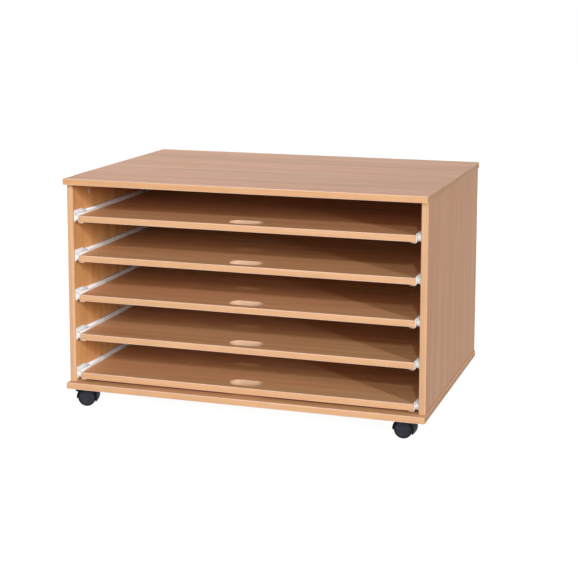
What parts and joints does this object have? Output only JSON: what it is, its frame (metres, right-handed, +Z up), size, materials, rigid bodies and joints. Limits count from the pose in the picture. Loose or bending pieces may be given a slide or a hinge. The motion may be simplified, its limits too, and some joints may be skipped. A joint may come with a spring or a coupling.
{
  "type": "paper storage cabinet",
  "caption": "Mobile open-fronted cabinet in beech board, with flat shelves that pull out on roller runners to store large sheets of paper, on braked swivel castors.",
  "frame": {"origin": "on the floor below the middle of the top, level with the bottoms of the castor wheels", "axes": "+Z up, -Y out of the open front where the shelves pull out, +X to the right of someone facing the front"},
  "size_m": [1.02, 0.71, 0.652],
  "materials": {
    "carcass_beech": "beech-faced board with a satin lacquer look and lipped edges",
    "shelf_beech": "beech-faced board with a satin lacquer look and lipped edges",
    "back_beech": "beech-faced thin board, satin",
    "runner_white": "white epoxy coating",
    "roller_nylon": "white nylon",
    "castor_steel": "bright zinc",
    "castor_black": "fine-grained black moulding",
    "castor_wheel": "dark grey moulding"
  },
  "bodies": {
    "cabinet": {"back_panel": "back_beech", "base_panel": "carcass_beech", "cabinet_runner_left_1": "runner_white", "cabinet_runner_left_2": "runner_white", "cabinet_runner_left_3": "runner_white", "cabinet_runner_left_4": "runner_white", "cabinet_runner_left_5": "runner_white", "cabinet_runner_right_1": "runner_white", "cabinet_runner_right_2": "runner_white", "cabinet_runner_right_3": "runner_white", "cabinet_runner_right_4": "runner_white", "cabinet_runner_right_5": "runner_white", "castor_plate_front_left": "castor_steel", "castor_plate_front_right": "castor_steel", "castor_plate_rear_left": "castor_steel", "castor_plate_rear_right": "castor_steel", "left_side_panel": "carcass_beech", "right_side_panel": "carcass_beech", "top_panel": "carcass_beech"},
    "shelf_1": {"shelf_1": "shelf_beech", "shelf_runner_left_1": "runner_white", "shelf_runner_right_1": "runner_white"},
    "shelf_2": {"shelf_2": "shelf_beech", "shelf_runner_left_2": "runner_white", "shelf_runner_right_2": "runner_white"},
    "shelf_3": {"shelf_3": "shelf_beech", "shelf_runner_left_3": "runner_white", "shelf_runner_right_3": "runner_white"},
    "shelf_4": {"shelf_4": "shelf_beech", "shelf_runner_left_4": "runner_white", "shelf_runner_right_4": "runner_white"},
    "shelf_5": {"shelf_5": "shelf_beech", "shelf_runner_left_5": "runner_white", "shelf_runner_right_5": "runner_white"},
    "front_roller_left_1": {"front_roller_left_1": "roller_nylon"},
    "front_roller_right_1": {"front_roller_right_1": "roller_nylon"},
    "front_roller_left_2": {"front_roller_left_2": "roller_nylon"},
    "front_roller_right_2": {"front_roller_right_2": "roller_nylon"},
    "front_roller_left_3": {"front_roller_left_3": "roller_nylon"},
    "front_roller_right_3": {"front_roller_right_3": "roller_nylon"},
    "front_roller_left_4": {"front_roller_left_4": "roller_nylon"},
    "front_roller_right_4": {"front_roller_right_4": "roller_nylon"},
    "front_roller_left_5": {"front_roller_left_5": "roller_nylon"},
    "front_roller_right_5": {"front_roller_right_5": "roller_nylon"},
    "castor_front_left": {"castor_hood_front_left": "castor_black"},
    "castor_wheel_near_front_left": {"castor_wheel_near_front_left": "castor_wheel"},
    "castor_wheel_far_front_left": {"castor_wheel_far_front_left": "castor_wheel"},
    "brake_pedal_front_left": {"brake_pedal_front_left": "castor_black"},
    "castor_front_right": {"castor_hood_front_right": "castor_black"},
    "castor_wheel_near_front_right": {"castor_wheel_near_front_right": "castor_wheel"},
    "castor_wheel_far_front_right": {"castor_wheel_far_front_right": "castor_wheel"},
    "castor_rear_left": {"castor_hood_rear_left": "castor_black"},
    "castor_wheel_near_rear_left": {"castor_wheel_near_rear_left": "castor_wheel"},
    "castor_wheel_far_rear_left": {"castor_wheel_far_rear_left": "castor_wheel"},
    "castor_rear_right": {"castor_hood_rear_right": "castor_black"},
    "castor_wheel_near_rear_right": {"castor_wheel_near_rear_right": "castor_wheel"},
    "castor_wheel_far_rear_right": {"castor_wheel_far_rear_right": "castor_wheel"},
    "brake_pedal_rear_right": {"brake_pedal_rear_right": "castor_black"}
  },
  "joints": [
    {"name": "shelf_1_slide", "type": "slide", "parent": "cabinet", "child": "shelf_1", "axis": [0, -1, 0], "range_m": [0, 0.45]},
    {"name": "shelf_2_slide", "type": "slide", "parent": "cabinet", "child": "shelf_2", "axis": [0, -1, 0], "range_m": [0, 0.45]},
    {"name": "shelf_3_slide", "type": "slide", "parent": "cabinet", "child": "shelf_3", "axis": [0, -1, 0], "range_m": [0, 0.45]},
    {"name": "shelf_4_slide", "type": "slide", "parent": "cabinet", "child": "shelf_4", "axis": [0, -1, 0], "range_m": [0, 0.45]},
    {"name": "shelf_5_slide", "type": "slide", "parent": "cabinet", "child": "shelf_5", "axis": [0, -1, 0], "range_m": [0, 0.45]},
    {"name": "front_roller_left_1_turn", "type": "hinge", "parent": "cabinet", "child": "front_roller_left_1", "pos_m": [-0.4869, -0.317, 0.5394], "axis": [1, 0, 0], "range_deg": [0, 2580]},
    {"name": "front_roller_right_1_turn", "type": "hinge", "parent": "cabinet", "child": "front_roller_right_1", "pos_m": [0.4869, -0.317, 0.5394], "axis": [1, 0, 0], "range_deg": [0, 2580]},
    {"name": "front_roller_left_2_turn", "type": "hinge", "parent": "cabinet", "child": "front_roller_left_2", "pos_m": [-0.4869, -0.317, 0.4282], "axis": [1, 0, 0], "range_deg": [0, 2580]},
    {"name": "front_roller_right_2_turn", "type": "hinge", "parent": "cabinet", "child": "front_roller_right_2", "pos_m": [0.4869, -0.317, 0.4282], "axis": [1, 0, 0], "range_deg": [0, 2580]},
    {"name": "front_roller_left_3_turn", "type": "hinge", "parent": "cabinet", "child": "front_roller_left_3", "pos_m": [-0.4869, -0.317, 0.317], "axis": [1, 0, 0], "range_deg": [0, 2580]},
    {"name": "front_roller_right_3_turn", "type": "hinge", "parent": "cabinet", "child": "front_roller_right_3", "pos_m": [0.4869, -0.317, 0.317], "axis": [1, 0, 0], "range_deg": [0, 2580]},
    {"name": "front_roller_left_4_turn", "type": "hinge", "parent": "cabinet", "child": "front_roller_left_4", "pos_m": [-0.4869, -0.317, 0.2058], "axis": [1, 0, 0], "range_deg": [0, 2580]},
    {"name": "front_roller_right_4_turn", "type": "hinge", "parent": "cabinet", "child": "front_roller_right_4", "pos_m": [0.4869, -0.317, 0.2058], "axis": [1, 0, 0], "range_deg": [0, 2580]},
    {"name": "front_roller_left_5_turn", "type": "hinge", "parent": "cabinet", "child": "front_roller_left_5", "pos_m": [-0.4869, -0.317, 0.0946], "axis": [1, 0, 0], "range_deg": [0, 2580]},
    {"name": "front_roller_right_5_turn", "type": "hinge", "parent": "cabinet", "child": "front_roller_right_5", "pos_m": [0.4869, -0.317, 0.0946], "axis": [1, 0, 0], "range_deg": [0, 2580]},
    {"name": "castor_swivel_front_left", "type": "hinge", "parent": "cabinet", "child": "castor_front_left", "pos_m": [-0.4585, -0.289, 0], "axis": [0, 0, 1], "continuous": true},
    {"name": "castor_wheel_near_front_left_spin", "type": "hinge", "parent": "castor_front_left", "child": "castor_wheel_near_front_left", "pos_m": [-0.47143, -0.29968, 0.025], "axis": [-0.225, 0.9744, 0], "continuous": true},
    {"name": "castor_wheel_far_front_left_spin", "type": "hinge", "parent": "castor_front_left", "child": "castor_wheel_far_front_left", "pos_m": [-0.4748, -0.28507, 0.025], "axis": [-0.225, 0.9744, 0], "continuous": true},
    {"name": "brake_pedal_front_left_tip", "type": "hinge", "parent": "castor_front_left", "child": "brake_pedal_front_left", "pos_m": [-0.50046, -0.29869, 0.0412], "axis": [-0.225, 0.9744, 0], "range_deg": [-15, 0]},
    {"name": "castor_swivel_front_right", "type": "hinge", "parent": "cabinet", "child": "castor_front_right", "pos_m": [0.4585, -0.289, 0], "axis": [0, 0, 1], "continuous": true},
    {"name": "castor_wheel_near_front_right_spin", "type": "hinge", "parent": "castor_front_right", "child": "castor_wheel_near_front_right", "pos_m": [0.44313, -0.2957, 0.025], "axis": [0.0523, 0.9986, 0], "continuous": true},
    {"name": "castor_wheel_far_front_right_spin", "type": "hinge", "parent": "castor_front_right", "child": "castor_wheel_far_front_right", "pos_m": [0.44391, -0.28073, 0.025], "axis": [0.0523, 0.9986, 0], "continuous": true},
    {"name": "castor_swivel_rear_left", "type": "hinge", "parent": "cabinet", "child": "castor_rear_left", "pos_m": [-0.4585, 0.289, 0], "axis": [0, 0, 1], "continuous": true},
    {"name": "castor_wheel_near_rear_left_spin", "type": "hinge", "parent": "castor_rear_left", "child": "castor_wheel_near_rear_left", "pos_m": [-0.47214, 0.27925, 0.025], "axis": [-0.1564, 0.9877, 0], "continuous": true},
    {"name": "castor_wheel_far_rear_left_spin", "type": "hinge", "parent": "castor_rear_left", "child": "castor_wheel_far_rear_left", "pos_m": [-0.47449, 0.29406, 0.025], "axis": [-0.1564, 0.9877, 0], "continuous": true},
    {"name": "castor_swivel_rear_right", "type": "hinge", "parent": "cabinet", "child": "castor_rear_right", "pos_m": [0.4585, 0.289, 0], "axis": [0, 0, 1], "continuous": true},
    {"name": "castor_wheel_near_rear_right_spin", "type": "hinge", "parent": "castor_rear_right", "child": "castor_wheel_near_rear_right", "pos_m": [0.44213, 0.28535, 0.025], "axis": [0.2419, 0.9703, 0], "continuous": true},
    {"name": "castor_wheel_far_rear_right_spin", "type": "hinge", "parent": "castor_rear_right", "child": "castor_wheel_far_rear_right", "pos_m": [0.44576, 0.29991, 0.025], "axis": [0.2419, 0.9703, 0], "continuous": true},
    {"name": "brake_pedal_rear_right_tip", "type": "hinge", "parent": "castor_rear_right", "child": "brake_pedal_rear_right", "pos_m": [0.41672, 0.29942, 0.0412], "axis": [0.2419, 0.9703, 0], "range_deg": [-15, 0]}
  ],
  "couplings": [
    {"joint": "front_roller_left_1_turn", "follows": "shelf_1_slide", "rad_per_m": 100},
    {"joint": "front_roller_right_1_turn", "follows": "shelf_1_slide", "rad_per_m": 100},
    {"joint": "front_roller_left_2_turn", "follows": "shelf_2_slide", "rad_per_m": 100},
    {"joint": "front_roller_right_2_turn", "follows": "shelf_2_slide", "rad_per_m": 100},
    {"joint": "front_roller_left_3_turn", "follows": "shelf_3_slide", "rad_per_m": 100},
    {"joint": "front_roller_right_3_turn", "follows": "shelf_3_slide", "rad_per_m": 100},
    {"joint": "front_roller_left_4_turn", "follows": "shelf_4_slide", "rad_per_m": 100},
    {"joint": "front_roller_right_4_turn", "follows": "shelf_4_slide", "rad_per_m": 100},
    {"joint": "front_roller_left_5_turn", "follows": "shelf_5_slide", "rad_per_m": 100},
    {"joint": "front_roller_right_5_turn", "follows": "shelf_5_slide", "rad_per_m": 100}
  ]
}
